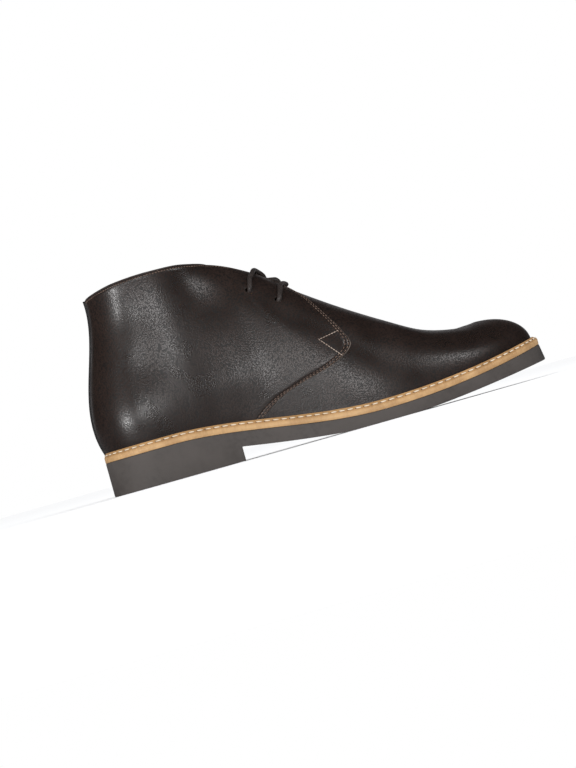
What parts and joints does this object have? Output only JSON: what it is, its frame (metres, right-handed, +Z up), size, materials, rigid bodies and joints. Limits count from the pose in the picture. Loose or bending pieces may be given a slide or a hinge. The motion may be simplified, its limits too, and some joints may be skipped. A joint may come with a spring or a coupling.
{
  "type": "chukka boot",
  "caption": "Ankle-high dark leather lace-up boot on a moulded rubber sole with a tan stitched welt, standing empty.",
  "frame": {"origin": "on the floor, under the middle of the boot's bounding box", "axes": "+X from heel to toe, -Y the outer side, +Z up"},
  "size_m": [0.306, 0.1012, 0.1384],
  "materials": {
    "rubber": "matt dark grey-brown moulded rubber",
    "midsole": "satin tan edge",
    "welt": "satin tan with cream stitching",
    "footbed": "brown lining leather",
    "upper": "semi-gloss very dark brown pebbled leather",
    "tongue": "smooth glossy dark leather",
    "piping": "black piping",
    "lace": "waxed round dark brown lace"
  },
  "bodies": {
    "root": {"outsole": "rubber", "midsole": "midsole", "welt": "welt", "insole": "footbed", "upper": "upper", "tongue": "tongue", "back_piping": "piping", "lace_bar": "lace", "lace_crossing": "lace"}
  },
  "joints": []
}
